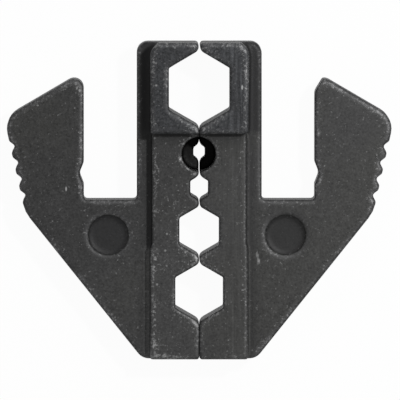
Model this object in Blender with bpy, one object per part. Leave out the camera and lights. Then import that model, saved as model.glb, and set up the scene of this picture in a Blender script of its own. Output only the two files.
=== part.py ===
"""Pair of quick-change hex crimp dies for coaxial connectors, closed and lying on their backs.

Each die is one sintered steel piece: a thin wing that slips over the finger of a crimp tool's jaw,
and a thicker bar along the parting line that holds one half of each crimping cavity.

Frame: +X to the right, +Y towards the tool's pivot, +Z up, out of the marked face.
The parting plane is X = 0, Y = 0 is half way along the dies, and the backs lie on Z = 0.
A point of a die is given as (reach, run): reach is its distance from the parting plane, run its Y.
"""

import math

import bmesh
import bpy
from mathutils import Matrix, Vector

MM = 0.001
INCH = 25.4 * MM

# Whole die
MATING_GAP = 0.3 * MM
PLATE_THICKNESS = 5.8 * MM
BAR_THICKNESS = 7.7 * MM
BLOCK_THICKNESS = 9.5 * MM

# Bar along the parting line, and the block round the largest cavity
BAR_REACH = 6.2 * MM
BLOCK_OVERHANG = 0.48 * MM
BLOCK_LENGTH = 12.3 * MM
BLOCK_CHAMFER = 1.15 * MM
BLOCK_CHAMFER_RADIUS = 1.6 * MM

# Slot for the finger of the jaw
BLADE_REACH = 8.45 * MM
BLADE_CORNER_RADIUS = 1.5 * MM
SLOT_WIDTH = 7.2 * MM
SLOT_DEPTH = 21.4 * MM
SLOT_CORNER_RADIUS = 0.5 * MM
DETENT_RISE = 3.6 * MM
DETENT_HALF_LENGTH = 1.5 * MM
DETENT_DEPTH = 0.6 * MM
DETENT_RADIUS = 1.2 * MM
DETENT_LIP_RADIUS = 0.6 * MM

# Hook arm outside the slot, and the flank down to the narrow end
ARM_TIP_DROP = 4.03 * MM
ARM_TIP_RADIUS = 1.3 * MM
ARM_SLANT = math.radians(30.3)
ARM_ROOT_REACH = 23.98 * MM
SHOULDER_RADIUS = 2.85 * MM
FLANK_FOOT_REACH = 7.72 * MM
FLANK_FOOT_RADIUS = 1.9 * MM
WING_CORNER_DROP = 1.65 * MM
WING_CORNER_RADIUS = 4.8 * MM
BAR_END_RADIUS = 0.35 * MM
NOSE_RADIUS = 0.55 * MM

# Finger grip on the outer edge of the arm. The first two are shares of the edge's whole length.
GRIP_FIRST = 0.169
GRIP_PITCH = 0.1745
GRIP_LEAN = math.radians(12.4)
GRIP_GROOVES = 4
GROOVE_DEPTH = 0.68 * MM
GROOVE_FLANK = math.radians(40)
GROOVE_RADIUS = 0.42 * MM
GROOVE_CREST_RADIUS = 0.45 * MM

# Hex cavities, from the wide end down: width across the flats, length of the flat, and length of
# the land that follows. The flats are longer than a true hexagon's, which spares the closing edge.
CAVITIES = {
    "wide": (0.324 * INCH, 5.6 * MM, 2.55 * MM),
    "pin": (0.068 * INCH, 1.2 * MM, 2.06 * MM),
    "narrow": (0.1 * INCH, 1.9 * MM, 0.88 * MM),
    "middle": (0.213 * INCH, 3.65 * MM, 1.03 * MM),
    "low": (0.255 * INCH, 4.15 * MM, 5.12 * MM),
}
NOSE_LAND = 1.03 * MM
CAVITY_SLOPE = math.radians(31)
CAVITY_CORNER_RADIUS = 0.35 * MM
LIP_RADIUS = 1.1 * MM

# Counterbore that leaves a short crimping length for the centre pin
COUNTERBORE_RADIUS = 2.25 * MM
PIN_CRIMP_LENGTH = 3.0 * MM

# Round recess in the wing, left blank. Its place differs a little between the two dies.
RECESS_RADIUS = 2.72 * MM
RECESS_DEPTH = 0.5 * MM
RECESS_DROP = 26.15 * MM
RECESS_REACH = {"left_die": 12.3 * MM, "right_die": 11.7 * MM}

# Softened edges, as tumbled sintered parts have
EDGE_ROUNDING = 0.22 * MM
EDGE_SEGMENTS = 3
SHARP_EDGE = math.radians(35)

# Drawing values: the step of an arc, the sides of a round cutter, how far tools pass the steel,
# and how much of an edge the arcs at its two ends may take
ARC_STEP = math.radians(14)
ROUND_SIDES = 40
OVERRUN = 2.0 * MM
ARC_SHARE = 0.96

FACE = MATING_GAP / 2


def cavity_rise(across):
    """Return how far along the mating face one slope of a cavity runs."""
    return (across / 2 - FACE) * math.tan(CAVITY_SLOPE)


def cavity_places():
    """Return how far each cavity's centre is from the wide end, and the length of the die."""
    places = {}
    reached = NOSE_LAND
    for name, (across, flat, land) in CAVITIES.items():
        half = flat / 2 + cavity_rise(across)
        places[name] = reached + half
        reached += 2 * half + land
    return places, reached


CAVITY_PLACES, DIE_LENGTH = cavity_places()
TOP = DIE_LENGTH / 2
BOTTOM = -DIE_LENGTH / 2
HEEL = TOP - BLOCK_LENGTH
BLOCK_REACH = BAR_REACH + BLOCK_OVERHANG
ROOT = PLATE_THICKNESS / 2
CLEAR_ABOVE = BLOCK_THICKNESS + OVERRUN
SLOT_FLOOR = TOP - SLOT_DEPTH
ARM_INSIDE = BLADE_REACH + SLOT_WIDTH
SIDES = {"left_die": -1, "right_die": 1}


def clear_scene():
    """Remove every object that the file starts with."""
    for item in list(bpy.data.objects):
        bpy.data.objects.remove(item, do_unlink=True)


def blackened_steel(name, color):
    """Black oxide on sintered steel: a dark, half dull metal skin."""
    material = bpy.data.materials.new(name)
    material.use_nodes = True
    shader = material.node_tree.nodes["Principled BSDF"]
    shader.inputs["Base Color"].default_value = color
    shader.inputs["Metallic"].default_value = 0.6
    shader.inputs["Roughness"].default_value = 0.5
    material.diffuse_color = color
    return material


def turn_at(before, corner, after):
    """Return how far an outline turns at a corner, and its directions in and out."""
    inward = (corner - before).normalized()
    outward = (after - corner).normalized()
    return inward.angle(outward, 0.0), inward, outward


def tangent_lengths(corners):
    """Return each corner's arc length along its edges, shared where two arcs meet on one edge."""
    count = len(corners)
    wanted = []
    for index, (corner, radius) in enumerate(corners):
        turn = turn_at(corners[index - 1][0], corner, corners[(index + 1) % count][0])[0]
        wanted.append(radius * math.tan(turn / 2))
    share = [1.0] * count
    for index in range(count):
        following = (index + 1) % count
        edge = (corners[following][0] - corners[index][0]).length * ARC_SHARE
        needed = wanted[index] + wanted[following]
        if needed > edge:
            share[index] = min(share[index], edge / needed)
            share[following] = min(share[following], edge / needed)
    return [length * part for length, part in zip(wanted, share)]


def corner_arc(before, corner, after, tangent):
    """Return the points of the arc that rounds a corner, or the corner where it is sharp."""
    turn, inward, outward = turn_at(before, corner, after)
    if tangent <= 0:
        return [corner]
    radius = tangent / math.tan(turn / 2)
    side = math.copysign(1, inward.cross(outward))
    center = corner - inward * tangent + inward.orthogonal() * side * radius
    spoke = corner - inward * tangent - center
    steps = max(1, math.ceil(turn / ARC_STEP))
    return [center + Matrix.Rotation(side * turn * step / steps, 2) @ spoke for step in range(steps + 1)]


def rounded_outline(corners):
    """Return the closed outline through corners given as (point, radius)."""
    tangents = tangent_lengths(corners)
    count = len(corners)
    points = []
    for index, (corner, _) in enumerate(corners):
        before = corners[index - 1][0]
        after = corners[(index + 1) % count][0]
        points += corner_arc(before, corner, after, tangents[index])
    return points


def at(reach, run, radius=0.0):
    """Return one corner of an outline with the radius that rounds it."""
    return Vector((reach, run)), radius


def meeting_point(start_a, way_a, start_b, way_b):
    """Return where two straight lines of an outline cross."""
    along = (start_b - start_a).cross(way_b) / way_a.cross(way_b)
    return start_a + way_a * along


def cavity_corners(name):
    """Return the half hexagon that one cavity cuts into the mating face, top to bottom."""
    across, flat, _ = CAVITIES[name]
    center = TOP - CAVITY_PLACES[name]
    mouth = flat / 2 + cavity_rise(across)
    return [
        at(FACE, center + mouth, LIP_RADIUS),
        at(across / 2, center + flat / 2, CAVITY_CORNER_RADIUS),
        at(across / 2, center - flat / 2, CAVITY_CORNER_RADIUS),
        at(FACE, center - mouth, LIP_RADIUS),
    ]


def groove_corners(foot, crest_way):
    """Return one grip groove, a rounded V square to the crest line, bottom to top."""
    inward = Vector((-crest_way.y, crest_way.x))
    half_width = GROOVE_DEPTH / math.tan(GROOVE_FLANK)
    return [
        (foot - crest_way * half_width, GROOVE_CREST_RADIUS),
        (foot + inward * GROOVE_DEPTH, GROOVE_RADIUS),
        (foot + crest_way * half_width, GROOVE_CREST_RADIUS),
    ]


def grip_corners():
    """Return the outer edge of the arm: wing corner, grooves and shoulder, bottom to top."""
    crest_way = Vector((math.sin(GRIP_LEAN), math.cos(GRIP_LEAN)))
    slant_way = Vector((-math.cos(ARM_SLANT), math.sin(ARM_SLANT)))
    arm_root = Vector((ARM_ROOT_REACH, SLOT_FLOOR))
    wing_corner = arm_root - crest_way * WING_CORNER_DROP
    shoulder = meeting_point(arm_root, crest_way, arm_tip(), slant_way)
    corners = [(wing_corner, WING_CORNER_RADIUS)]
    for number in range(GRIP_GROOVES):
        foot = wing_corner.lerp(shoulder, GRIP_FIRST + GRIP_PITCH * number)
        corners += groove_corners(foot, crest_way)
    corners.append((shoulder, SHOULDER_RADIUS))
    return corners


def arm_tip():
    """Return the sharp corner that the rounded tip of the hook arm comes from."""
    return Vector((ARM_INSIDE, TOP - ARM_TIP_DROP))


def detent_corners():
    """Return the notch that the jaw's detent snaps into, top to bottom."""
    center = SLOT_FLOOR + DETENT_RISE
    return [
        at(ARM_INSIDE, center + DETENT_HALF_LENGTH, DETENT_LIP_RADIUS),
        at(ARM_INSIDE + DETENT_DEPTH, center, DETENT_RADIUS),
        at(ARM_INSIDE, center - DETENT_HALF_LENGTH, DETENT_LIP_RADIUS),
    ]


def die_corners():
    """Return the whole plan of a die, counter-clockwise from the wide end of the mating face."""
    corners = [at(FACE, TOP, NOSE_RADIUS)]
    for name in CAVITIES:
        corners += cavity_corners(name)
    corners += [at(FACE, BOTTOM, BAR_END_RADIUS), at(FLANK_FOOT_REACH, BOTTOM, FLANK_FOOT_RADIUS)]
    corners += grip_corners()
    corners.append((arm_tip(), ARM_TIP_RADIUS))
    corners += detent_corners()
    corners += [
        at(ARM_INSIDE, SLOT_FLOOR, SLOT_CORNER_RADIUS),
        at(BLADE_REACH, SLOT_FLOOR, SLOT_CORNER_RADIUS),
        at(BLADE_REACH, TOP, BLADE_CORNER_RADIUS),
    ]
    return corners


def stock_corners():
    """Return the plan of the stock that the wing is cut from, past the die on every side."""
    wide = ARM_ROOT_REACH + DIE_LENGTH
    low, high = BOTTOM - OVERRUN, TOP + OVERRUN
    return [at(-OVERRUN, low), at(wide, low), at(wide, high), at(-OVERRUN, high)]


def bar_corners():
    """Return the plan of the bar, from past the narrow end to inside the block."""
    low, high = BOTTOM - OVERRUN, HEEL + BLOCK_LENGTH / 2
    return [at(-OVERRUN, low), at(BAR_REACH, low), at(BAR_REACH, high), at(-OVERRUN, high)]


def block_corners():
    """Return the plan of the raised block, with a soft chamfer at the wide end."""
    return [
        at(-OVERRUN, HEEL),
        at(BLOCK_REACH, HEEL),
        at(BLOCK_REACH, TOP - BLOCK_CHAMFER, BLOCK_CHAMFER_RADIUS),
        at(BLOCK_REACH - BLOCK_CHAMFER - OVERRUN, TOP + OVERRUN),
        at(-OVERRUN, TOP + OVERRUN),
    ]


def circle(reach, run, radius):
    """Return a round outline."""
    spoke = Vector((radius, 0))
    center = Vector((reach, run))
    return [center + Matrix.Rotation(math.tau * step / ROUND_SIDES, 2) @ spoke for step in range(ROUND_SIDES)]


def prism(name, side, outline, low, high):
    """Return an object that fills a plan outline of one die between two heights."""
    shape = bmesh.new()
    face = shape.faces.new([shape.verts.new((side * point.x, point.y, low)) for point in outline])
    swept = bmesh.ops.extrude_face_region(shape, geom=[face])
    raised = [item for item in swept["geom"] if isinstance(item, bmesh.types.BMVert)]
    bmesh.ops.translate(shape, verts=raised, vec=(0, 0, high - low))
    bmesh.ops.recalc_face_normals(shape, faces=shape.faces)
    mesh = bpy.data.meshes.new(name)
    shape.to_mesh(mesh)
    shape.free()
    mesh.shade_smooth()
    item = bpy.data.objects.new(name, mesh)
    bpy.context.collection.objects.link(item)
    return item


def combine(body, tool, operation):
    """Let one solid change another by a Boolean, and keep the tool out of sight."""
    change = body.modifiers.new(tool.name, "BOOLEAN")
    change.operation = operation
    change.solver = "EXACT"
    change.object = tool
    tool.parent = body
    tool.hide_render = True
    tool.display_type = "WIRE"


def soften_edges(body):
    """Round every sharp edge a little."""
    rounding = body.modifiers.new("edge_rounding", "BEVEL")
    rounding.width = EDGE_ROUNDING
    rounding.segments = EDGE_SEGMENTS
    rounding.limit_method = "ANGLE"
    rounding.angle_limit = SHARP_EDGE
    rounding.use_clamp_overlap = False


def wing_stock(name, side):
    """Return the plate that the wing is cut from."""
    return prism(name, side, rounded_outline(stock_corners()), 0, PLATE_THICKNESS)


def bar(name, side):
    """Return the bar along the parting line, rooted in the plate."""
    return prism(name + "_bar", side, rounded_outline(bar_corners()), ROOT, BAR_THICKNESS)


def block(name, side):
    """Return the raised block round the largest cavity, rooted in the plate."""
    return prism(name + "_block", side, rounded_outline(block_corners()), ROOT, BLOCK_THICKNESS)


def plan(name, side):
    """Return the tall solid with the die's plan, which trims the stock to shape."""
    return prism(name + "_plan", side, rounded_outline(die_corners()), -OVERRUN, CLEAR_ABOVE)


def counterbore(name, side):
    """Return the cutter that opens the pin cavity from the marked face."""
    outline = circle(0, TOP - CAVITY_PLACES["pin"], COUNTERBORE_RADIUS)
    return prism(name + "_counterbore", side, outline, PIN_CRIMP_LENGTH, CLEAR_ABOVE)


def recess(name, side):
    """Return the cutter of the blank round recess in the wing."""
    outline = circle(RECESS_REACH[name], TOP - RECESS_DROP, RECESS_RADIUS)
    return prism(name + "_recess", side, outline, PLATE_THICKNESS - RECESS_DEPTH, CLEAR_ABOVE)


def crimp_die(name, side, color):
    """Return one die: recessed and stepped stock, trimmed to the plan, softened and bored."""
    die = wing_stock(name, side)
    die.data.materials.append(blackened_steel(name + "_steel", color))
    combine(die, recess(name, side), "DIFFERENCE")
    combine(die, bar(name, side), "UNION")
    combine(die, block(name, side), "UNION")
    combine(die, plan(name, side), "INTERSECT")
    soften_edges(die)
    combine(die, counterbore(name, side), "DIFFERENCE")
    shading = die.modifiers.new("flat_faces", "WEIGHTED_NORMAL")
    shading.keep_sharp = True
    return die


def closing_guide():
    """Return the empty on the line that the right die opens along."""
    guide = bpy.data.objects.new("die_opening", None)
    guide.location = (0, 0, BAR_THICKNESS / 2)
    guide.empty_display_size = BAR_REACH
    bpy.context.collection.objects.link(guide)
    return guide


def hang_on(item, carrier):
    """Parent a die to the empty that carries it, without moving the die."""
    item.parent = carrier
    item.location = -carrier.location


def main():
    """Model both dies and put the moving one on its guide."""
    clear_scene()
    crimp_die("left_die", SIDES["left_die"], (0.052, 0.052, 0.054, 1))
    right_die = crimp_die("right_die", SIDES["right_die"], (0.06, 0.06, 0.062, 1))
    hang_on(right_die, closing_guide())


main()
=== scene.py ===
"""Dresses a pair of hex crimp dies as the photograph shows them, lying closed on a white table."""

import math

import bpy
import numpy as np
from mathutils import Matrix, Vector
from mathutils.bvhtree import BVHTree


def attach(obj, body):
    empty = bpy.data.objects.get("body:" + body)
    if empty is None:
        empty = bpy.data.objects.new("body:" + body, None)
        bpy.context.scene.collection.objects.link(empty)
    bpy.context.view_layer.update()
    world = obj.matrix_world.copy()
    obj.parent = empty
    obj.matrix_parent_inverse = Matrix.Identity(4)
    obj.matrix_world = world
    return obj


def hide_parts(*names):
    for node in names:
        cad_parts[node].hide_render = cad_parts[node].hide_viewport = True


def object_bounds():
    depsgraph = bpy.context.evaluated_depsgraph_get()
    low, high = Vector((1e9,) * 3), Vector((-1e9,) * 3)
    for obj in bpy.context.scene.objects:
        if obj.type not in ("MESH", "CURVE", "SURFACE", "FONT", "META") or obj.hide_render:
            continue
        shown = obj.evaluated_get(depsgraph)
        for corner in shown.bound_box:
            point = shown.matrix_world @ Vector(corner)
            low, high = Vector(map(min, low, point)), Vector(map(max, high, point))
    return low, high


bl_info = {
    "name": "Crimp die pair",
    "version": (1, 0, 0),
    "blender": (4, 5, 0),
    "location": "View3D > Sidebar > Crimp dies",
    "description": "Dresses a pair of sintered steel crimp dies and sets the table they lie on",
    "category": "Object",
}

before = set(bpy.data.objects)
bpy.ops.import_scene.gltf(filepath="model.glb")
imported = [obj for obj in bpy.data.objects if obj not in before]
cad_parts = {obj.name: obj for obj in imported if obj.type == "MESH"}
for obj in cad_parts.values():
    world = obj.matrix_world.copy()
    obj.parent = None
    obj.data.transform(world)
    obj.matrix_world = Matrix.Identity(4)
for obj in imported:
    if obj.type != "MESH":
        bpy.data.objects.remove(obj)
CAD_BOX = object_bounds()

MM = 0.001
LEFT, RIGHT = "left_die", "right_die"

# Gap between the closed dies by distance from the middle of their length, narrow end first
GAP_RUNS = (-21 * MM, -7.5 * MM, 0, 4 * MM, 7.6 * MM, 11 * MM, 21 * MM)
GAPS = (0.02 * MM, 0.05 * MM, 0.09 * MM, 0.13 * MM, 0.015 * MM, 0.015 * MM, 0.2 * MM)
# How far from the mating face the steel moves along with it
CLOSING_DEPTH = 3 * MM

# Flanks: where the CAD bar and block end, how far each goes out or in, and where the block begins.
# The bar is a little wider below its third land than above it.
BAR_REACH = 6.2 * MM
BAR_RUNS = (-6.4 * MM, -5.9 * MM)
BAR_SHIFTS = {-1: (0.42 * MM, 0.19 * MM), 1: (0.34 * MM, 0.17 * MM)}
BLOCK_REACH = 6.68 * MM
BLOCK_HEEL = 9.16 * MM
BLOCK_RUNS = (BLOCK_HEEL, 19 * MM)
BLOCK_SHIFTS = {-1: (-0.1 * MM, -0.06 * MM), 1: (-0.05 * MM, 0.05 * MM)}
# The chamfer at the block's outer corner bulges a little, by side, and how far in and along it does
BLOCK_CHAMFER = 1.15 * MM
CHAMFER_BULGES = {-1: 0.02 * MM, 1: 0.12 * MM}
CHAMFER_DEPTH = 1.3 * MM
CHAMFER_SPREAD = 1.3
# What stands still inside the flanks, how far out their move dies away, and over what height it grows
FLANK_REST = 4.5 * MM
FLANK_FADE = 1.3 * MM
FLANK_RISE = 0.3 * MM
# Height of the wing's upper face
PLATE = 5.8 * MM
# How round the block's outer corner at its heel is in plan, by side, and how sharply the block begins
HEEL_ROUNDING = {-1: 0.12 * MM, 1: 0.5 * MM}
HEEL_STEP = 0.1 * MM

# Round recess in each wing, by side, and the ledges of the wing beside the block
RECESS_REACH = {-1: 12.3 * MM, 1: 11.7 * MM}
RECESS_RUN = -4.69 * MM
RECESS_RADIUS = 2.72 * MM
RECESS_RIM = 0.3 * MM
RECESS_EDGE = 0.1 * MM
RECESS_STEP = 0.2 * MM
LEDGE_RUN = 8.6 * MM
LEDGE_FADE = 1 * MM
LEDGE_TOP = 6.2 * MM
LEDGE_REACHES = {-1: (7.7 * MM, 8.2 * MM), 1: (8 * MM, 8.5 * MM)}
# How strong the painted shade is on the ledges beside the block and on the recess floor
LEDGE_SHADE = 1.4
RECESS_SHADE = 1.1
# Rims that get a painted highlight and are rubbed more than the rest: the wings' beside the block, by side,
# and at the wide end, the block's there, and the outer edge of the right die's bar
RIM_REACH = 7.9 * MM
RIM_RUN = 20.8 * MM
RIM_DEPTH = 1 * MM
RIM_SHARES = {-1: 0.4, 1: 0}
BLOCK_RIM_SHARE = 0.75
FLANK_RIM_SHARE = 0.5
# How far to each side of that edge the painted highlight is full and where it ends, and how it ends at the
# heel; corner shade is lifted there too
FLANK_BAND = (0.24 * MM, 0.64 * MM)
FLANK_HEEL_FADE = 0.3 * MM
# From here to the narrow end the left die gets painted light on the bar and in the corner beside it
BAR_LIGHT_RUNS = (-7 * MM, -6 * MM)
BAR_LIGHT_PLACES = (-0.1 * MM, 0, 0.5 * MM, 1 * MM)
BAR_LIGHT_SHARE = 0.12
# Beside the right bar: distances out from its flank, and how much painted light lies there, painted shade
# where below 0
CORNER_PLACES = (-0.3 * MM, -0.15 * MM, 0.18 * MM, 0.33 * MM, 0.5 * MM, 0.75 * MM)
CORNER_SHARES = (0, 0.8, 0.8, -0.2, -0.2, 0)

# Flat worn on the tip of the right arm: which way it faces, and how far out that way it lies
TIP_NEAR = (13 * MM, 12 * MM)
TIP_WAY = (-0.855, 0.519)
TIP_REACH = -5.76 * MM
TIP_ROUNDING = 0.12 * MM

# Nicks that show bare steel: middle across and along, length, width, and how far it is turned
NICKS = (
    (7.85 * MM, -7.4 * MM, 0.9 * MM, 0.22 * MM, math.radians(106)),
    (8 * MM, -8.25 * MM, 0.75 * MM, 0.32 * MM, math.radians(92)),
    (-0.5 * MM, -7.5 * MM, 0.8 * MM, 0.25 * MM, math.radians(120)),
    (-0.4 * MM, 9.75 * MM, 0.8 * MM, 0.3 * MM, math.radians(98)),
    (0.63 * MM, 9.77 * MM, 0.7 * MM, 0.25 * MM, math.radians(57)),
    (5.89 * MM, 20.6 * MM, 1.1 * MM, 0.2 * MM, math.radians(139)),
    (-16.55 * MM, 15.25 * MM, 0.3 * MM, 0.24 * MM, 0),
    (-16.2 * MM, 14.85 * MM, 0.4 * MM, 0.24 * MM, math.radians(110)),
    (-2.51 * MM, 5.75 * MM, 0.5 * MM, 0.3 * MM, math.radians(90)),
    (-0.65 * MM, 3.7 * MM, 0.3 * MM, 0.3 * MM, 0),
    (-0.62 * MM, -16.5 * MM, 1.2 * MM, 0.25 * MM, math.radians(135)),
)
NICK_DEPTH = 0.08 * MM
NICK_STEEPNESS = 2.5

# Places that were knocked about most and hold the most specks, laid out as the nicks are, and how
# quickly they begin at their rims
WORN = (
    (-6.1 * MM, 10.7 * MM, 1.5 * MM, 1.1 * MM, 0),
    (-5.95 * MM, 18.9 * MM, 3.8 * MM, 0.8 * MM, math.radians(90)),
    (6.1 * MM, 17.8 * MM, 3.2 * MM, 0.9 * MM, math.radians(95)),
    (6.15 * MM, 13.2 * MM, 4.2 * MM, 1 * MM, math.radians(84)),
    (6 * MM, 10.6 * MM, 1.4 * MM, 0.8 * MM, math.radians(60)),
    (5.7 * MM, 20.2 * MM, 1.6 * MM, 1.2 * MM, math.radians(135)),
    (-0.6 * MM, 20.8 * MM, 1.1 * MM, 0.6 * MM, 0),
    (-5.85 * MM, 2.6 * MM, 5 * MM, 0.8 * MM, math.radians(90)),
    (-6.15 * MM, -15.6 * MM, 4.8 * MM, 0.5 * MM, math.radians(90)),
    (-5.9 * MM, -19.4 * MM, 2.4 * MM, 1.1 * MM, math.radians(90)),
    (-2 * MM, 4.85 * MM, 2.4 * MM, 0.5 * MM, math.radians(128)),
    (-5 * MM, -20.9 * MM, 3 * MM, 0.4 * MM, 0),
)
WORN_STEEPNESS = 1
# Nicks and worn places reach this many times past their length and width, and lie on upper faces only
MARK_REACH = 1.3
MARK_FOOT = PLATE - 0.3 * MM

# Counterbore of the pin cavity: where the CAD has it, how much wider the real one is and how far off,
# and between which distances from its middle the steel moves with its wall
COUNTERBORE_RUN = 6.49 * MM
COUNTERBORE_RADIUS = 2.25 * MM
COUNTERBORE_GROWTH = 0.08 * MM
COUNTERBORE_SHIFT = (-0.08 * MM, -0.12 * MM)
COUNTERBORE_REST = (1.4 * MM, 2.1 * MM, 2.35 * MM, 3.2 * MM)
COUNTERBORE_FACE = 1 * MM
COUNTERBORE_FLOOR = 3 * MM
COUNTERBORE_MOUTH = 7.7 * MM
# How far the counterbore's painted shade reaches past its wall, its mouth and its floor, and how softly it
# ends
BORE_SHADE_REACHES = (0.2 * MM, 0.2 * MM, 0.5 * MM)
BORE_SHADE_FADES = (0.25 * MM, 0.4 * MM, 0.4 * MM)

# Faces whose normal rises less than this are walls, which stay where they stand
WALL_SLOPE = 0.5
# The bar's top lies between these heights, with crisper edges than wing and block have
BAR_FOOT = 6.4 * MM
BAR_HEAD = 8 * MM

# Edges are found by smoothing the steel for some rounds and measuring how proud it stood; the measure
# is then spread for more rounds over what lies beside an edge, or beside an inner corner, and raised
EDGE_ROUNDS = 8
EDGE_PROUD = 0.05 * MM
BESIDE_ROUNDS, BESIDE_GAIN = 24, 2.2
HOLLOW_ROUNDS, HOLLOW_GAIN = 80, 3

# Lamps: azimuth, elevation, distance and size; and how far below the dies' backs the table lies
KEY_PLACE = (math.radians(54), math.radians(62), 0.3, 0.02)
RIM_PLACE = (math.radians(10), math.radians(30), 0.6, 0.25)
TABLE_DROP = 0.02 * MM
# The camera looks this far to the right of the parting plane
AIM_EAST = 0.11 * MM
SENSOR_WIDTH = 36
CLIP_NEAR, CLIP_FAR = 0.01, 10


def linear(hex_color):
    """Return a colour written as sRGB hex as linear red, green, blue and alpha."""
    channels = [int(hex_color[place:place + 2], 16) / 255 for place in (1, 3, 5)]
    curve = [c / 12.92 if c <= 0.04045 else ((c + 0.055) / 1.055) ** 2.4 for c in channels]
    return (*curve, 1.0)


def per_length(length):
    """Return the texture scale at which one feature of a pattern is that long, in metres."""
    return 1 / length


# Sizes and colours that a user would change


class DieFinish(bpy.types.PropertyGroup):
    """Form and finish of the dressed dies."""

    facet: bpy.props.FloatProperty(
        name="Facet", description="Mesh size of the dressed steel", default=0.175 * MM, unit="LENGTH",
        precision=5)
    softness: bpy.props.IntProperty(
        name="Softness", description="Smoothing rounds that round the wing's edges off", default=14, min=3)
    crispness: bpy.props.IntProperty(
        name="Crispness", description="Smoothing rounds for the edges of the bar", default=3, min=0)
    closing: bpy.props.FloatProperty(
        name="Closing", description="How much of the gap shown in the photograph is kept", default=1.0,
        min=0.1, max=2)
    oxide: bpy.props.FloatVectorProperty(
        name="Oxide", description="Black oxide on the wings and the bar", subtype="COLOR", size=4,
        default=linear("#444444"))
    blue_oxide: bpy.props.FloatVectorProperty(
        name="Blue oxide", description="Black oxide on the block, a little bluer", subtype="COLOR", size=4,
        default=linear("#3a3b3d"))
    brown_oxide: bpy.props.FloatVectorProperty(
        name="Brown oxide", description="Oxide where it has browned a little", subtype="COLOR", size=4,
        default=linear("#454544"))
    # Painted shade for steep faces, roundings and inner corners
    painted_shade: bpy.props.FloatVectorProperty(
        name="Soot", description="Steep faces, never rubbed", subtype="COLOR", size=4,
        default=linear("#2b2b2c"))
    # Painted shade, near black, for the inside of the counterbore
    bore_shade: bpy.props.FloatVectorProperty(
        name="Bore soot", description="Inside of the round counterbore", subtype="COLOR", size=4,
        default=linear("#0a0a09"))
    # Rubbed oxide, which on the chosen rims is also a painted highlight
    rub_and_highlight: bpy.props.FloatVectorProperty(
        name="Rubbed oxide", description="Oxide thinned by rubbing just inside each edge", subtype="COLOR",
        size=4, default=linear("#747475"))
    bare_steel: bpy.props.FloatVectorProperty(
        name="Bare steel", description="Steel in specks, nicks and dents", subtype="COLOR",
        size=4, default=linear("#a6a6a6"))


class TableStage(bpy.types.PropertyGroup):
    """Camera, table and lights."""

    floor: bpy.props.FloatVectorProperty(
        name="Floor", description="White of the table", subtype="COLOR", size=4, default=linear("#ffffff"))
    floor_size: bpy.props.FloatProperty(
        name="Floor size", description="Side of the table", default=1.2, unit="LENGTH")
    shade: bpy.props.FloatProperty(
        name="Shade", description="How much of the dies' shadow the white table shows", default=0.04,
        subtype="FACTOR", min=0, max=1)
    field: bpy.props.FloatProperty(
        name="Field", description="Width that the picture takes in", default=54.2 * MM, unit="LENGTH",
        precision=4)
    distance: bpy.props.FloatProperty(
        name="Distance", description="From the camera to the dies", default=1.2, unit="LENGTH")
    tilt: bpy.props.FloatProperty(
        name="Tilt", description="How far the camera stands off the vertical towards the wide end",
        default=math.radians(3.1), subtype="ANGLE")
    sideways: bpy.props.FloatProperty(
        name="Sideways", description="How far it stands off the vertical towards the right die",
        default=math.radians(-0.4), subtype="ANGLE")
    sky: bpy.props.FloatProperty(
        name="Sky", description="Even light from all round", default=0.34, min=0)
    key: bpy.props.FloatProperty(
        name="Key", description="Share of the light from the lamp at the right", default=0.45, min=0)
    rim: bpy.props.FloatProperty(
        name="Rim", description="Share of the light from the low lamp past the wide end", default=0.1,
        min=0)


# Material helpers


def add_node(tree, kind, settings=None, **links):
    """Add a node, set its properties, and give its inputs values or links by name."""
    node = tree.nodes.new(kind)
    for name, value in (settings or {}).items():
        setattr(node, name, value)
    for name, value in links.items():
        place = int(name[5:]) if name.startswith("input") else name.replace("_", " ")
        socket = node.inputs[place]
        if isinstance(value, bpy.types.NodeSocket):
            tree.links.new(value, socket)
        else:
            socket.default_value = value
    return node


def new_material(name):
    """Return an empty material with its node tree and its output."""
    material = bpy.data.materials.new(name)
    material.use_nodes = True
    tree = material.node_tree
    tree.nodes.clear()
    return material, tree, tree.nodes.new("ShaderNodeOutputMaterial")


# Materials


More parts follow.
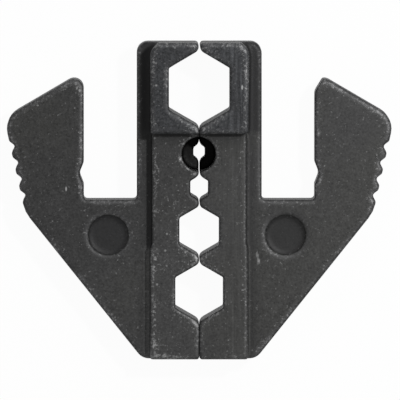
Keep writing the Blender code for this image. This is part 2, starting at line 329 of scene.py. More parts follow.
def black_oxide_steel(finish):
    """Sintered steel, tumbled and black oxidised: dark, half dull, grainy, rubbed bright on its edges, with
    painted shade and highlights in its colour.
    """
    material, tree, output = new_material("sintered_steel_black_oxide")
    coords = add_node(tree, "ShaderNodeTexCoord")
    place = coords.outputs["Object"]
    edge = add_node(tree, "ShaderNodeAttribute", {"attribute_name": "edge"}).outputs["Fac"]
    beside = add_node(tree, "ShaderNodeAttribute", {"attribute_name": "beside_edge"}).outputs["Fac"]
    hollow = add_node(tree, "ShaderNodeAttribute", {"attribute_name": "hollow_shade"}).outputs["Fac"]
    bore = add_node(tree, "ShaderNodeAttribute", {"attribute_name": "bore"}).outputs["Fac"]
    rubbed_and_highlit = add_node(tree, "ShaderNodeAttribute", {"attribute_name": "rubbed_and_highlit"}).outputs["Fac"]
    recess = add_node(tree, "ShaderNodeAttribute", {"attribute_name": "recess"}).outputs["Fac"]
    nick = add_node(tree, "ShaderNodeAttribute", {"attribute_name": "nick"}).outputs["Fac"]
    worn = add_node(tree, "ShaderNodeAttribute", {"attribute_name": "worn"}).outputs["Fac"]
    bar_light = add_node(tree, "ShaderNodeAttribute", {"attribute_name": "bar_light"}).outputs["Fac"]
    along = add_node(tree, "ShaderNodeSeparateXYZ", input0=place)
    east, height = along.outputs["X"], along.outputs["Z"]
    # Faces that look up get little painted shade; roundings and walls get more.
    facing = add_node(tree, "ShaderNodeSeparateXYZ", input0=coords.outputs["Normal"]).outputs["Z"]
    level_face = add_node(tree, "ShaderNodeMapRange", Value=facing, From_Min=0.45, From_Max=0.95)

    # Metal powder grains are about 0.1 mm; they are drawn at 0.3 mm, the finest the picture shows.
    grain = add_node(tree, "ShaderNodeTexNoise", Vector=place, Scale=per_length(0.3 * MM),
                     Detail=3.0, Roughness=0.7).outputs["Fac"]
    # Patches where the oxide took more or less, 1.5 mm across.
    patch = add_node(tree, "ShaderNodeTexNoise", Vector=place, Scale=per_length(1.5 * MM),
                     Detail=3.0, Roughness=0.6).outputs["Fac"]
    # Areas that were handled more, 5 mm across.
    handled = add_node(tree, "ShaderNodeTexNoise", Vector=place, Scale=per_length(5 * MM),
                       Detail=2.0).outputs["Fac"]
    # Browned areas, 14 mm across.
    brown = add_node(tree, "ShaderNodeTexNoise", Vector=place, Scale=per_length(14 * MM),
                     Detail=1.0).outputs["Fac"]
    # Specks left by tumbling, 0.2 mm across in clusters.
    speck = add_node(tree, "ShaderNodeTexNoise", Vector=place, Scale=per_length(0.38 * MM),
                     Detail=2.0, Roughness=0.85).outputs["Fac"]
    # Drag lines of the press tool, 0.4 mm apart and 9 mm long.
    drawn = add_node(tree, "ShaderNodeMapping", Vector=place,
                     Scale=(per_length(0.4 * MM), per_length(9 * MM), per_length(4 * MM)))
    drag = add_node(tree, "ShaderNodeTexNoise", Vector=drawn.outputs[0], Scale=1.0,
                    Detail=2.0, Roughness=0.7).outputs["Fac"]

    # The bulk colour: neutral on the wings, a little brown in places, a little blue on the block.
    browned = add_node(tree, "ShaderNodeMapRange", Value=brown, From_Min=0.42, From_Max=0.62)
    skin = add_node(tree, "ShaderNodeMix", {"data_type": "RGBA"}, input0=browned.outputs[0],
                    input6=finish.oxide, input7=finish.brown_oxide)
    on_block = add_node(tree, "ShaderNodeMapRange", Value=height, From_Min=8 * MM, From_Max=9.2 * MM)
    blued = add_node(tree, "ShaderNodeMix", {"data_type": "RGBA"}, input0=on_block.outputs[0],
                     input6=skin.outputs[2], input7=finish.blue_oxide)

    # Its tone: patches, and drag lines on the bar and the block of the right die.
    patchy = add_node(tree, "ShaderNodeMapRange", Value=patch, From_Min=0.3, From_Max=0.7,
                      To_Min=0.9, To_Max=1.1)
    dragged = add_node(tree, "ShaderNodeMapRange", Value=drag, From_Min=0.4, From_Max=0.7,
                       To_Min=0.85, To_Max=1.9)
    on_bar = add_node(tree, "ShaderNodeMapRange", Value=height, From_Min=7.2 * MM, From_Max=7.6 * MM,
                      To_Max=0.35)
    on_right = add_node(tree, "ShaderNodeMapRange", Value=east, From_Min=2 * MM, From_Max=5 * MM,
                        To_Min=0.15)
    block_share = add_node(tree, "ShaderNodeMath", {"operation": "MULTIPLY_ADD", "use_clamp": True},
                           input0=on_block.outputs[0], input1=0.65, input2=on_bar.outputs[0])
    drag_share = add_node(tree, "ShaderNodeMath", {"operation": "MULTIPLY"},
                          input0=block_share.outputs[0], input1=on_right.outputs[0])
    streaky = add_node(tree, "ShaderNodeMix", input0=drag_share.outputs[0], input2=1.0,
                       input3=dragged.outputs[0])
    # One long score of the press tool, 0.15 mm wide, runs the length of the right die's bar.
    score = add_node(tree, "ShaderNodeMath", {"operation": "COMPARE"}, input0=east,
                     input1=4.55 * MM, input2=0.08 * MM)
    score_share = add_node(tree, "ShaderNodeMath", {"operation": "MULTIPLY"}, input0=score.outputs[0],
                           input1=on_bar.outputs[0])
    scored = add_node(tree, "ShaderNodeMath", {"operation": "MULTIPLY_ADD"},
                      input0=score_share.outputs[0], input1=patch, input2=patchy.outputs[0])
    # The grains stand out most on the block, and least on the smooth bar of the right die.
    calm = add_node(tree, "ShaderNodeMath", {"operation": "MULTIPLY"}, input0=on_bar.outputs[0],
                    input1=on_right.outputs[0])
    swing = add_node(tree, "ShaderNodeMath", {"operation": "MULTIPLY_ADD"}, input0=calm.outputs[0],
                     input1=-2.6, input2=2.1)
    full_swing = add_node(tree, "ShaderNodeMath", {"operation": "MULTIPLY_ADD"},
                          input0=on_block.outputs[0], input1=1.4, input2=swing.outputs[0])
    centred = add_node(tree, "ShaderNodeMath", {"operation": "SUBTRACT"}, input0=grain, input1=0.5)
    grainy = add_node(tree, "ShaderNodeMath", {"operation": "MULTIPLY_ADD"}, input0=centred.outputs[0],
                      input1=full_swing.outputs[0], input2=1.03)
    tone = add_node(tree, "ShaderNodeMath", {"operation": "MULTIPLY"}, input0=scored.outputs[0],
                    input1=grainy.outputs[0])
    # Painted shade: darker towards the left die's wide end, but not on the block; the painted light and
    # shade beside the bar join it.
    way = add_node(tree, "ShaderNodeVectorMath", {"operation": "DOT_PRODUCT"}, input0=place,
                   input1=(0.68, -0.73, 0))
    diagonal_shade = add_node(tree, "ShaderNodeMapRange", Value=way.outputs["Value"], From_Min=-6.5 * MM,
                       From_Max=0, To_Min=0.85, To_Max=1.005)
    diagonal_shade_off_block = add_node(tree, "ShaderNodeMix", input0=on_block.outputs[0], input2=diagonal_shade.outputs[0],
                      input3=1.0)
    painted_tone = add_node(tree, "ShaderNodeMath", {"operation": "MULTIPLY_ADD"}, input0=bar_light, input1=0.9,
                      input2=diagonal_shade_off_block.outputs[0])
    streaks_and_painted_tone = add_node(tree, "ShaderNodeMath", {"operation": "MULTIPLY"}, input0=streaky.outputs[0],
                       input1=painted_tone.outputs[0])
    full_tone = add_node(tree, "ShaderNodeMath", {"operation": "MULTIPLY"}, input0=tone.outputs[0],
                         input1=streaks_and_painted_tone.outputs[0])
    toned = add_node(tree, "ShaderNodeVectorMath", {"operation": "SCALE"}, input0=blued.outputs[2],
                     Scale=full_tone.outputs[0])

    # Just inside each edge the oxide is rubbed thin, more where the die was handled more; on the chosen
    # rims this is also a painted highlight.
    share = add_node(tree, "ShaderNodeMapRange", Value=handled, From_Min=0.38, From_Max=0.62,
                     To_Min=0.25, To_Max=0.8)
    line_most = add_node(tree, "ShaderNodeMapRange", Value=height, From_Min=6 * MM, From_Max=7 * MM,
                         To_Min=1.0, To_Max=0.6)
    line = add_node(tree, "ShaderNodeMapRange", Value=edge, From_Min=0.05, From_Max=0.5,
                    To_Max=line_most.outputs[0])
    uneven = add_node(tree, "ShaderNodeMapRange", Value=speck, From_Min=0.35, From_Max=0.6,
                      To_Min=0.3, To_Max=1.0)
    most = add_node(tree, "ShaderNodeMath", {"operation": "MAXIMUM"}, input0=share.outputs[0],
                    input1=rubbed_and_highlit)
    line_share = add_node(tree, "ShaderNodeMath", {"operation": "MULTIPLY"}, input0=line.outputs[0],
                          input1=most.outputs[0])
    rub_and_highlight_share = add_node(tree, "ShaderNodeMath", {"operation": "MULTIPLY"}, input0=line_share.outputs[0],
                   input1=uneven.outputs[0])
    rubbed_and_highlit_skin = add_node(tree, "ShaderNodeMix", {"data_type": "RGBA"}, input0=rub_and_highlight_share.outputs[0],
                       input6=toned.outputs[0], input7=finish.rub_and_highlight)

    # Specks of bare steel crowd towards the edges and in the worn places, and are rare elsewhere.
    crowd = add_node(tree, "ShaderNodeMath", {"operation": "MULTIPLY"}, input0=beside,
                     input1=most.outputs[0])
    pull = add_node(tree, "ShaderNodeMapRange", Value=on_block.outputs[0], To_Min=0.17, To_Max=0.185)
    left_most = add_node(tree, "ShaderNodeMapRange", Value=east, From_Min=-2 * MM, From_Max=0,
                         To_Min=0.14, To_Max=0.02)
    knocked = add_node(tree, "ShaderNodeMapRange", Value=handled, From_Min=0.42, From_Max=0.6,
                       To_Max=left_most.outputs[0])
    bar_only = add_node(tree, "ShaderNodeMath", {"operation": "SUBTRACT", "use_clamp": True},
                        input0=on_bar.outputs[0], input1=on_block.outputs[0])
    scattered = add_node(tree, "ShaderNodeMath", {"operation": "MULTIPLY_ADD"},
                         input0=knocked.outputs[0], input1=bar_only.outputs[0], input2=speck)
    gathered = add_node(tree, "ShaderNodeMath", {"operation": "MULTIPLY_ADD"}, input0=crowd.outputs[0],
                        input1=pull.outputs[0], input2=scattered.outputs[0])
    crowded = add_node(tree, "ShaderNodeMath", {"operation": "MULTIPLY_ADD"}, input0=worn,
                       input1=0.1, input2=gathered.outputs[0])
    strength = add_node(tree, "ShaderNodeMapRange", Value=on_block.outputs[0], To_Min=0.85, To_Max=0.62)
    specks = add_node(tree, "ShaderNodeMapRange", Value=crowded.outputs[0], From_Min=0.64,
                      From_Max=0.84, To_Max=strength.outputs[0])

    # A few dents, 0.15 mm wide and 0.4 mm long, several millimetres apart, show bare steel too.
    stretched = add_node(tree, "ShaderNodeMapping", Vector=place,
                         Scale=(per_length(2 * MM), per_length(5 * MM), per_length(2 * MM)))
    cells = add_node(tree, "ShaderNodeTexVoronoi", Vector=stretched.outputs[0], Scale=1.0)
    close = add_node(tree, "ShaderNodeMapRange", Value=cells.outputs["Distance"], From_Min=0.08,
                     From_Max=0.04)
    pick = add_node(tree, "ShaderNodeSeparateColor", Color=cells.outputs["Color"]).outputs[0]
    chosen = add_node(tree, "ShaderNodeMath", {"operation": "GREATER_THAN"}, input0=pick, input1=0.82)
    dent = add_node(tree, "ShaderNodeMath", {"operation": "MULTIPLY"}, input0=close.outputs[0],
                    input1=chosen.outputs[0])
    # Round knocks, 0.25 mm across and some 2 mm apart, on the bar and block of the left die.
    spots = add_node(tree, "ShaderNodeTexVoronoi", Vector=place, Scale=per_length(1.4 * MM))
    spot_near = add_node(tree, "ShaderNodeMapRange", Value=spots.outputs["Distance"], From_Min=0.15,
                         From_Max=0.05, To_Max=0.6)
    spot_pick = add_node(tree, "ShaderNodeSeparateColor", Color=spots.outputs["Color"]).outputs[0]
    spot_chosen = add_node(tree, "ShaderNodeMath", {"operation": "GREATER_THAN"}, input0=spot_pick,
                           input1=0.6)
    spot = add_node(tree, "ShaderNodeMath", {"operation": "MULTIPLY"}, input0=spot_near.outputs[0],
                    input1=spot_chosen.outputs[0])
    on_left = add_node(tree, "ShaderNodeMapRange", Value=east, From_Min=-1 * MM, From_Max=1 * MM,
                       To_Min=1.0, To_Max=0.1)
    raised = add_node(tree, "ShaderNodeMapRange", Value=height, From_Min=7.2 * MM, From_Max=7.6 * MM)
    spot_share = add_node(tree, "ShaderNodeMath", {"operation": "MULTIPLY"}, input0=on_left.outputs[0],
                          input1=raised.outputs[0])
    knock = add_node(tree, "ShaderNodeMath", {"operation": "MULTIPLY"}, input0=spot.outputs[0],
                     input1=spot_share.outputs[0])
    dents = add_node(tree, "ShaderNodeMath", {"operation": "MAXIMUM"}, input0=dent.outputs[0],
                     input1=knock.outputs[0])
    patchy_nick = add_node(tree, "ShaderNodeMath", {"operation": "MULTIPLY"}, input0=nick,
                           input1=uneven.outputs[0])
    knocks = add_node(tree, "ShaderNodeMath", {"operation": "MAXIMUM"}, input0=dents.outputs[0],
                      input1=patchy_nick.outputs[0])
    bare = add_node(tree, "ShaderNodeMath", {"operation": "MAXIMUM"}, input0=specks.outputs[0],
                    input1=knocks.outputs[0])
    rubbed_skin = add_node(tree, "ShaderNodeMix", {"data_type": "RGBA"}, input0=bare.outputs[0],
                           input6=rubbed_and_highlit_skin.outputs[2], input7=finish.bare_steel)

    # Painted shade on the outside of roundings, except on the rubbed and highlit rims; some in inner
    # corners, all through the counterbore.
    rounding = add_node(tree, "ShaderNodeMapRange", Value=level_face.outputs[0], To_Min=0.75,
                        To_Max=0.0)
    wall = add_node(tree, "ShaderNodeMapRange", Value=facing, From_Max=0.4, To_Min=0.5)
    steep = add_node(tree, "ShaderNodeMath", {"operation": "MULTIPLY"}, input0=rounding.outputs[0],
                     input1=wall.outputs[0])
    kept = add_node(tree, "ShaderNodeMapRange", Value=height, From_Min=6 * MM, From_Max=7 * MM,
                    To_Min=1.0, To_Max=0.3)
    bright = add_node(tree, "ShaderNodeMath", {"operation": "MAXIMUM"}, input0=rubbed_and_highlit, input1=recess)
    rim_shade_kept = add_node(tree, "ShaderNodeMath", {"operation": "SUBTRACT"}, input0=kept.outputs[0],
                        input1=bright.outputs[0])
    rim_shade = add_node(tree, "ShaderNodeMath", {"operation": "MULTIPLY", "use_clamp": True},
                        input0=steep.outputs[0], input1=rim_shade_kept.outputs[0])
    corner_shade = add_node(tree, "ShaderNodeMath", {"operation": "MULTIPLY"}, input0=hollow,
                           input1=0.6)
    shade_share = add_node(tree, "ShaderNodeMath", {"operation": "MAXIMUM"},
                          input0=rim_shade.outputs[0], input1=corner_shade.outputs[0])
    shaded = add_node(tree, "ShaderNodeMix", {"data_type": "RGBA"}, input0=shade_share.outputs[0],
                      input6=rubbed_skin.outputs[2], input7=finish.painted_shade)
    color = add_node(tree, "ShaderNodeMix", {"data_type": "RGBA"}, input0=bore,
                     input6=shaded.outputs[2], input7=finish.bore_shade)

    roughness = add_node(tree, "ShaderNodeMapRange", Value=grain, From_Min=0.3, From_Max=0.7,
                         To_Min=0.48, To_Max=0.64)
    bumps = add_node(tree, "ShaderNodeBump", Strength=0.6, Distance=0.02 * MM, Height=grain)
    shader = add_node(tree, "ShaderNodeBsdfPrincipled", Base_Color=color.outputs[2], Metallic=0.7,
                      Roughness=roughness.outputs[0], Normal=bumps.outputs[0])
    tree.links.new(shader.outputs[0], output.inputs["Surface"])
    return material


def table_paper(stage):
    """Matt white paper that the camera and reflections see as plain white, with a trace of shadow."""
    material, tree, output = new_material("matt_white_paper")
    place = add_node(tree, "ShaderNodeTexCoord").outputs["Object"]
    fibre = add_node(tree, "ShaderNodeTexNoise", Vector=place, Scale=per_length(1.5 * MM), Detail=2.0)
    tint = add_node(tree, "ShaderNodeMapRange", Value=fibre.outputs["Fac"], To_Min=0.996, To_Max=1.0)
    color = add_node(tree, "ShaderNodeVectorMath", {"operation": "SCALE"}, input0=stage.floor[:3],
                     Scale=tint.outputs[0])
    paper = add_node(tree, "ShaderNodeBsdfDiffuse", Color=color.outputs[0])
    glow = add_node(tree, "ShaderNodeEmission", Color=stage.floor, Strength=1.0)
    path = add_node(tree, "ShaderNodeLightPath")
    seen = add_node(tree, "ShaderNodeMath", {"operation": "MAXIMUM"},
                    input0=path.outputs["Is Camera Ray"], input1=path.outputs["Is Glossy Ray"])
    lit = add_node(tree, "ShaderNodeMath", {"operation": "MULTIPLY"}, input0=seen.outputs[0],
                   input1=1 - stage.shade)
    mixed = add_node(tree, "ShaderNodeMixShader", input0=lit.outputs[0], input1=paper.outputs[0],
                     input2=glow.outputs[0])
    tree.links.new(mixed.outputs[0], output.inputs["Surface"])
    return material


# Mesh helpers


def smoothed(values, edges, rounds):
    """Return rows of values after each has moved half way to its neighbours' mean, for some rounds."""
    count = len(values)
    neighbours = np.bincount(edges.ravel(), minlength=count)[:, None]
    for _ in range(rounds):
        total = np.empty_like(values)
        for column, line in enumerate(values.T):
            total[:, column] = np.bincount(edges[:, 0], line[edges[:, 1]], count)
            total[:, column] += np.bincount(edges[:, 1], line[edges[:, 0]], count)
        values = (values + total / neighbours) / 2
    return values


def point_normals(mesh):
    """Return the normal of each vertex of a mesh."""
    normals = np.empty(len(mesh.vertices) * 3)
    mesh.vertices.foreach_get("normal", normals)
    return normals.reshape(-1, 3)


def softened(mesh, points, edges, finish):
    """Round the edges off by smoothing, but keep every wall where it stands."""
    mesh.vertices.foreach_set("co", points.ravel())
    mesh.update()
    walls = np.abs(point_normals(mesh)[:, 2]) < WALL_SLOPE
    crisp = smoothed(points, edges, finish.crispness)
    soft = smoothed(crisp, edges, finish.softness - finish.crispness)
    on_bar = (points[:, 2] > BAR_FOOT) & (points[:, 2] < BAR_HEAD)
    soft[on_bar] = crisp[on_bar]
    soft[walls, :2] = points[walls, :2]
    mesh.vertices.foreach_set("co", soft.ravel())
    mesh.update()
    return soft


def remeshed(node, facet):
    """Return an even, fine mesh of a CAD node, each point back on the node's own surface."""
    source = bpy.data.objects.new("remesh_source", node.data.copy())
    bpy.context.scene.collection.objects.link(source)
    remesh = source.modifiers.new("even_facets", "REMESH")
    remesh.mode = "VOXEL"
    remesh.voxel_size = facet
    graph = bpy.context.evaluated_depsgraph_get()
    mesh = bpy.data.meshes.new_from_object(source.evaluated_get(graph))
    surface = BVHTree.FromPolygons(
        [vertex.co for vertex in node.data.vertices], [face.vertices for face in node.data.polygons])
    points = np.array([surface.find_nearest(vertex.co)[0] for vertex in mesh.vertices])
    bpy.data.objects.remove(source)
    return mesh, points


def closed_up(points, finish, side):
    """Return points with the mating face moved towards the parting plane, up to the gap wanted."""
    half_gap = np.interp(points[:, 1], GAP_RUNS, GAPS) * finish.closing / 2
    reach = points[:, 0] * side
    face = reach.min()
    nearness = np.clip(1 - (reach - face) / CLOSING_DEPTH, 0, 1)
    moved = points.copy()
    moved[:, 0] -= side * (face - half_gap) * nearness
    return moved


def flanks_trued(points, side):
    """Return points with the flanks of bar and block moved to their widths in the photograph."""
    reach, run, height = points[:, 0] * side, points[:, 1], points[:, 2]
    bar_shift = np.interp(run, BAR_RUNS, BAR_SHIFTS[side])
    on_bar = np.interp(reach, (FLANK_REST, BAR_REACH, BAR_REACH + FLANK_FADE), (0, 1, 0))
    on_block = np.interp(reach, (FLANK_REST, BLOCK_REACH, BLOCK_REACH + FLANK_FADE), (0, 1, 0))
    block_share = np.clip((run - BLOCK_HEEL) / HEEL_STEP + 1, 0, 1)
    raised = np.clip((height - PLATE) / FLANK_RISE + 1, 0, 1)
    rounding = HEEL_ROUNDING[side]
    from_corner = np.clip(rounding - (run - BLOCK_HEEL), 0, rounding)
    corner = np.sqrt(rounding ** 2 - from_corner ** 2) - rounding
    block_shift = (np.interp(run, BLOCK_RUNS, BLOCK_SHIFTS[side]) + corner) * on_block
    shift = bar_shift * on_bar * (1 - block_share) + block_shift * block_share
    past_reach = reach - BLOCK_REACH + BLOCK_CHAMFER / 2
    past_run = run - CAD_BOX[1].y + BLOCK_CHAMFER / 2
    lengthwise, outward = past_reach - past_run, past_reach + past_run
    bulge = CHAMFER_BULGES[side] * np.clip(1 - (lengthwise / BLOCK_CHAMFER / CHAMFER_SPREAD) ** 2, 0, 1)
    bulge = bulge * np.interp(outward, (-CHAMFER_DEPTH, 0), (0, 1)) * raised / math.sqrt(2)
    moved = points.copy()
    moved[:, 0] += side * (shift * raised + bulge)
    moved[:, 1] = np.minimum(moved[:, 1] + bulge, CAD_BOX[1].y)
    return moved


def tip_trued(points):
    """Return points with the tip of the right arm worn flat."""
    near = (points[:, 0] > TIP_NEAR[0]) & (points[:, 1] > TIP_NEAR[1])
    proud = points[:, 0] * TIP_WAY[0] + points[:, 1] * TIP_WAY[1] - TIP_REACH
    cut = (proud + np.hypot(proud, TIP_ROUNDING)) / 2
    moved = points.copy()
    moved[:, :2] -= (cut * near)[:, None] * np.array(TIP_WAY)
    return moved


def counterbore_trued(points):
    """Return points with the counterbore's wall moved to where the photograph has it."""
    aside, ahead = points[:, 0], points[:, 1] - COUNTERBORE_RUN
    spread = np.maximum(np.hypot(aside, ahead), COUNTERBORE_REST[0] / 2)
    at_wall = np.interp(spread, COUNTERBORE_REST, (0, 1, 1, 0))
    off_face = np.clip(np.abs(aside) / COUNTERBORE_FACE, 0, 1)
    growth = COUNTERBORE_GROWTH / spread
    moved = points.copy()
    moved[:, 0] += (growth * aside + COUNTERBORE_SHIFT[0]) * at_wall * off_face
    moved[:, 1] += (growth * ahead + COUNTERBORE_SHIFT[1]) * at_wall
    return moved


def in_recess(points, side):
    """Return 1 at each point in or on the rim of the wing's round recess and 0 elsewhere."""
    spread = np.hypot(points[:, 0] * side - RECESS_REACH[side], points[:, 1] - RECESS_RUN)
    return np.clip((RECESS_RADIUS + RECESS_RIM - spread) / RECESS_EDGE, 0, 1)


def shade_in_hollows(points, side, hollow):
    """Return hollow as painted shade, with more added on the recess floor and on the block's ledges."""
    recess = in_recess(points, side)
    floor = np.clip((PLATE - RECESS_STEP - points[:, 2]) / RECESS_STEP, 0, 1)
    ledge = np.clip((points[:, 1] - LEDGE_RUN) / LEDGE_FADE, 0, 1) * (points[:, 2] < LEDGE_TOP)
    # Painted shade in inner corners, lifted beside the right bar's flank and changed by the painted light
    # and shade there
    corner_shade_left = hollow * (1 - by_right_flank(points) * (side > 0)) * (1 - painted_light_by_bar(points, side))
    inner = np.interp(points[:, 0] * side, LEDGE_REACHES[side], (1, 0))
    outer = np.maximum(corner_shade_left, LEDGE_SHADE * ledge * inner)
    return outer * (1 - recess) + RECESS_SHADE * floor * recess


def marked(points, places, steepness):
    """Return up to 1 at each point of an upper face in one of the long oval places, 0 elsewhere."""
    shares = np.zeros(len(points))
    for across, along, length, width, turn in places:
        aside, ahead = points[:, 0] - across, points[:, 1] - along
        lengthwise = (aside * math.cos(turn) + ahead * math.sin(turn)) * 2 / length
        sidewise = (ahead * math.cos(turn) - aside * math.sin(turn)) * 2 / width
        shares = np.maximum(shares, (MARK_REACH - np.hypot(lengthwise, sidewise)) * steepness)
    return np.clip(shares, 0, 1) * (points[:, 2] > MARK_FOOT)


def in_counterbore(points):
    """Return 1 at each point inside the counterbore and 0 elsewhere, soft at its mouth."""
    aside = points[:, 0] - COUNTERBORE_SHIFT[0]
    ahead = points[:, 1] - COUNTERBORE_RUN - COUNTERBORE_SHIFT[1]
    radius = COUNTERBORE_RADIUS + COUNTERBORE_GROWTH
    past_wall, past_mouth, past_floor = BORE_SHADE_REACHES
    wall_fade, mouth_fade, floor_fade = BORE_SHADE_FADES
    inside = np.clip((radius + past_wall - np.hypot(aside, ahead)) / wall_fade, 0, 1)
    deep = np.clip((COUNTERBORE_MOUTH + past_mouth - points[:, 2]) / mouth_fade, 0, 1)
    above = np.clip((points[:, 2] - COUNTERBORE_FLOOR + past_floor) / floor_fade, 0, 1)
    return inside * deep * above


def by_right_flank(points):
    """Return up to 1 at each point on or beside the outer flank of the right die's bar."""
    flank = BAR_REACH + np.interp(points[:, 1], BAR_RUNS, BAR_SHIFTS[1])
    near = np.interp(np.abs(points[:, 0] - flank), FLANK_BAND, (1, 0))
    return near * np.clip((BLOCK_HEEL - points[:, 1]) / FLANK_HEEL_FADE, 0, 1)


def painted_light_by_bar(points, side):
    """Return up to 1 where painted light goes, beside the bar and on the left bar, and below 0 where
    painted shade goes.
    """
    reach, run, height = points[:, 0] * side, points[:, 1], points[:, 2]
    past_flank = reach - BAR_REACH - np.interp(run, BAR_RUNS, BAR_SHIFTS[side])
    on_plate = height < LEDGE_TOP
    if side > 0:
        # Painted light in the corner beside the right bar, painted shade a little further out
        in_corner = np.interp(past_flank, CORNER_PLACES, CORNER_SHARES)
        return in_corner * on_plate * (run < BLOCK_HEEL)
    in_corner = np.interp(past_flank, BAR_LIGHT_PLACES, (0, 1, 1, 0)) * on_plate
    narrow_half = np.interp(run, BAR_LIGHT_RUNS, (1, 0))
    return narrow_half * np.maximum(in_corner, BAR_LIGHT_SHARE * (height > BAR_FOOT))


def rims_rubbed_and_highlit(points, side):
    """Return how much painted highlight and rubbing each point gets on the rims beside the block and at the
    wide end, or 0.
    """
    beside_block = (points[:, 0] * side > RIM_REACH) & (points[:, 1] > LEDGE_RUN)
    at_end = points[:, 1] > RIM_RUN
    wing_rims = RIM_SHARES[side] * (beside_block | at_end) * (points[:, 2] > PLATE - RIM_DEPTH)
    return np.maximum(wing_rims, BLOCK_RIM_SHARE * at_end * (points[:, 2] > BAR_HEAD))


def edge_measures(mesh, points, edges):
    """Return three measures from 0 to 1: on an edge, beside an edge, and beside an inner corner."""
    inward = smoothed(points, edges, EDGE_ROUNDS)
    proud = ((points - inward) * point_normals(mesh)).sum(axis=1) / EDGE_PROUD
    edge = np.clip(proud, 0, 1)
    beside = smoothed(edge[:, None], edges, BESIDE_ROUNDS)[:, 0] * BESIDE_GAIN
    hollow = smoothed(np.clip(-proud, 0, 1)[:, None], edges, HOLLOW_ROUNDS)[:, 0] * HOLLOW_GAIN
    return edge, np.clip(beside, 0, 1), np.clip(hollow, 0, 1)


def dressed_die(name, side, finish, material):
    """Build one die's visible steel over its CAD node and let it ride on the same body."""
    mesh, points = remeshed(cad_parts[name], finish.facet)
    edges = np.empty(len(mesh.edges) * 2, dtype=np.int32)
    mesh.edges.foreach_get("vertices", edges)
    edges = edges.reshape(-1, 2)
    points = tip_trued(flanks_trued(counterbore_trued(closed_up(points, finish, side)), side))
    points[:, 2] -= NICK_DEPTH * marked(points, NICKS, NICK_STEEPNESS)
    points = softened(mesh, points, edges, finish)
    edge, beside, hollow = edge_measures(mesh, points, edges)
    # Painted highlight along the outer edge of the right die's bar
    flank_rim = FLANK_RIM_SHARE * by_right_flank(points) * (points[:, 2] > BAR_FOOT)
    measures = {"edge": edge, "beside_edge": beside,
                "nick": marked(points, NICKS, NICK_STEEPNESS),
                "worn": marked(points, WORN, WORN_STEEPNESS), "bar_light": painted_light_by_bar(points, side),
                "hollow_shade": shade_in_hollows(points, side, hollow),
                "recess": in_recess(points, side), "bore": in_counterbore(points),
                "rubbed_and_highlit": np.maximum(flank_rim, rims_rubbed_and_highlit(points, side))}
    for label, values in measures.items():
        mesh.attributes.new(label, "FLOAT", "POINT").data.foreach_set("value", values)
    mesh.shade_smooth()
    mesh.materials.clear()
    mesh.materials.append(material)
    die = bpy.data.objects.new(name + "_steel", mesh)
    bpy.context.scene.collection.objects.link(die)
    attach(die, name)
    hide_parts(name)
    return die


# Operators


class DIES_OT_dress_pair(bpy.types.Operator):
    """Build the visible steel of both dies over their CAD nodes"""

    bl_idname = "dies.dress_pair"
    bl_label = "Dress the dies"

    def execute(self, context):
        finish = context.scene.die_finish
        material = black_oxide_steel(finish)
        for name, side in ((LEFT, -1), (RIGHT, 1)):
            dressed_die(name, side, finish, material)
        return {"FINISHED"}


def add_lamp(name, azimuth, elevation, distance, size, share):
    """Add a square soft lamp aimed at the dies that gives that share of a white sheet's brightness."""
    lamp = bpy.data.lights.new(name, "AREA")
    lamp.size = size
    # A small lamp of this many watts lights a white sheet that faces it at this distance to 1.
    lamp.energy = share * (math.pi * distance) ** 2
    holder = bpy.data.objects.new(name, lamp)
    way = Vector((math.sin(azimuth) * math.cos(elevation), math.cos(azimuth) * math.cos(elevation),
                  math.sin(elevation)))
    holder.location = way * distance
    holder.rotation_mode = "QUATERNION"
    holder.rotation_quaternion = way.to_track_quat("Z", "Y")
    bpy.context.scene.collection.objects.link(holder)


def add_camera(stage):
    """Add the camera nearly straight above the dies, with the wide end at the top of the picture."""
    low, high = CAD_BOX
    aim = Vector((AIM_EAST, 0, (low.z + high.z) / 2))
    back = Vector((math.tan(stage.sideways), math.tan(stage.tilt), 1)).normalized()
    across = Vector((0, 1, 0)).cross(back).normalized()
    up = back.cross(across)
    camera = bpy.data.cameras.new("camera")
    camera.sensor_width = SENSOR_WIDTH
    camera.lens = camera.sensor_width * stage.distance / stage.field
    camera.clip_start = CLIP_NEAR
    camera.clip_end = CLIP_FAR
    holder = bpy.data.objects.new("camera", camera)
    holder.matrix_world = Matrix.Translation(aim + back * stage.distance) @ Matrix(
        (across, up, back)).transposed().to_4x4()
    bpy.context.scene.collection.objects.link(holder)
    bpy.context.scene.camera = holder


def add_table(stage):
    """Add the white table, a hair below the dies' backs so that the two never share a plane."""
    half = stage.floor_size / 2
    mesh = bpy.data.meshes.new("table")
    corners = [(east, north, -TABLE_DROP)
               for east, north in ((-half, -half), (half, -half), (half, half), (-half, half))]
    mesh.from_pydata(corners, [], [(0, 1, 2, 3)])
    mesh.materials.append(table_paper(stage))
    table = bpy.data.objects.new("table", mesh)
    bpy.context.scene.collection.objects.link(table)


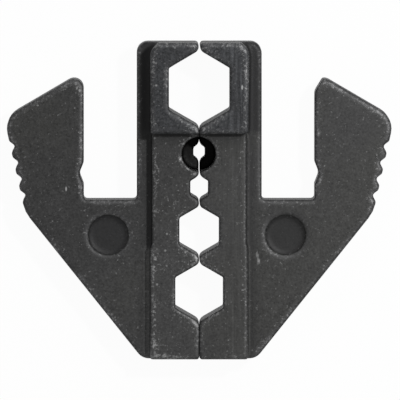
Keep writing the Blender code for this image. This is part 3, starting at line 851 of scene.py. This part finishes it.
def add_sky(stage):
    """Light the scene evenly from all round, with white where the camera sees past the table."""
    world = bpy.data.worlds.new("studio")
    world.use_nodes = True
    tree = world.node_tree
    tree.nodes.clear()
    output = tree.nodes.new("ShaderNodeOutputWorld")
    path = add_node(tree, "ShaderNodeLightPath")
    strength = add_node(tree, "ShaderNodeMapRange", Value=path.outputs["Is Camera Ray"],
                        To_Min=stage.sky, To_Max=1.0)
    sky = add_node(tree, "ShaderNodeBackground", Strength=strength.outputs[0])
    sky.inputs["Color"].default_value = linear("#ffffff")
    tree.links.new(sky.outputs[0], output.inputs["Surface"])
    bpy.context.scene.world = world


class DIES_OT_set_stage(bpy.types.Operator):
    """Set the table, lights and camera round the dies"""

    bl_idname = "dies.set_stage"
    bl_label = "Set the stage"

    def execute(self, context):
        stage = context.scene.table_stage
        add_table(stage)
        add_sky(stage)
        add_lamp("key_lamp", *KEY_PLACE, stage.key)
        add_lamp("rim_lamp", *RIM_PLACE, stage.rim)
        add_camera(stage)
        context.scene.view_settings.view_transform = "Standard"
        return {"FINISHED"}


class DIES_PT_tools(bpy.types.Panel):
    """Lists the steps that dress the dies"""

    bl_idname = "DIES_PT_tools"
    bl_label = "Crimp dies"
    bl_space_type = "VIEW_3D"
    bl_region_type = "UI"
    bl_category = "Crimp dies"

    def draw(self, context):
        layout = self.layout
        for settings in (context.scene.die_finish, context.scene.table_stage):
            box = layout.box()
            for name in type(settings).__annotations__:
                box.prop(settings, name)
        for operator in (DIES_OT_dress_pair, DIES_OT_set_stage):
            layout.operator(operator.bl_idname)


CLASSES = (DieFinish, TableStage, DIES_OT_dress_pair, DIES_OT_set_stage, DIES_PT_tools)


def register():
    """Register the classes and hang the settings on the scene."""
    for item in CLASSES:
        bpy.utils.register_class(item)
    bpy.types.Scene.die_finish = bpy.props.PointerProperty(type=DieFinish)
    bpy.types.Scene.table_stage = bpy.props.PointerProperty(type=TableStage)


def unregister():
    """Take the settings off the scene and unregister the classes."""
    del bpy.types.Scene.table_stage
    del bpy.types.Scene.die_finish
    for item in reversed(CLASSES):
        bpy.utils.unregister_class(item)


def main():
    """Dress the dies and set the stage."""
    register()
    bpy.ops.dies.dress_pair()
    bpy.ops.dies.set_stage()


if __name__ == "__main__":
    main()
